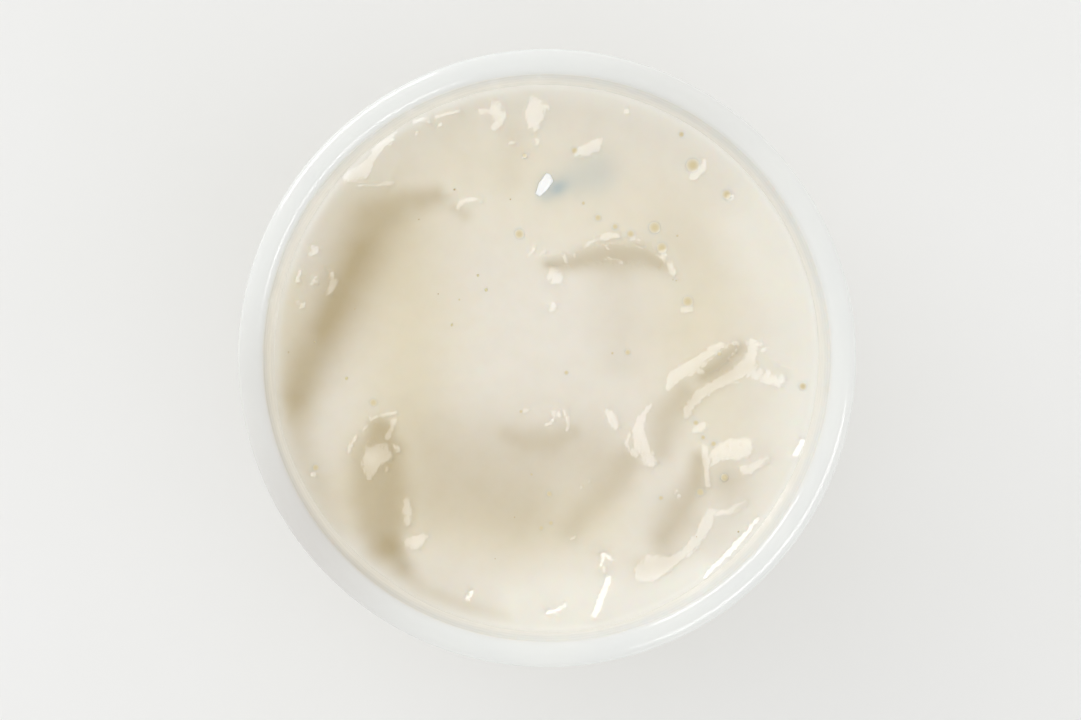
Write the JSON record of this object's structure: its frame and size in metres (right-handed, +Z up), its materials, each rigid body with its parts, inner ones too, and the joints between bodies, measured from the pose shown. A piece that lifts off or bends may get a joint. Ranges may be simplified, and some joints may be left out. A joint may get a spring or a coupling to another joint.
{
  "type": "dressing cup",
  "caption": "Round translucent plastic portion cup, open at the top, filled with creamy dressing whose glossy top is folded and dimpled, with a crumb of blue cheese.",
  "frame": {"origin": "centre of the foot ring, on the plane the cup stands on", "axes": "+Z up along the cup's axis, out of its mouth; +X to the right and +Y away in the view from above"},
  "size_m": [0.075, 0.075, 0.041],
  "materials": {
    "translucent_plastic": "translucent milky polypropylene, smooth moulded gloss",
    "creamy_dressing": "wet glossy cream, off-white, slightly translucent",
    "blue_cheese": "moist crumbly cheese, pale blue-grey, coated in dressing"
  },
  "bodies": {
    "root": {"cup": "translucent_plastic", "dressing": "creamy_dressing", "cheese_crumb": "blue_cheese"}
  },
  "joints": []
}
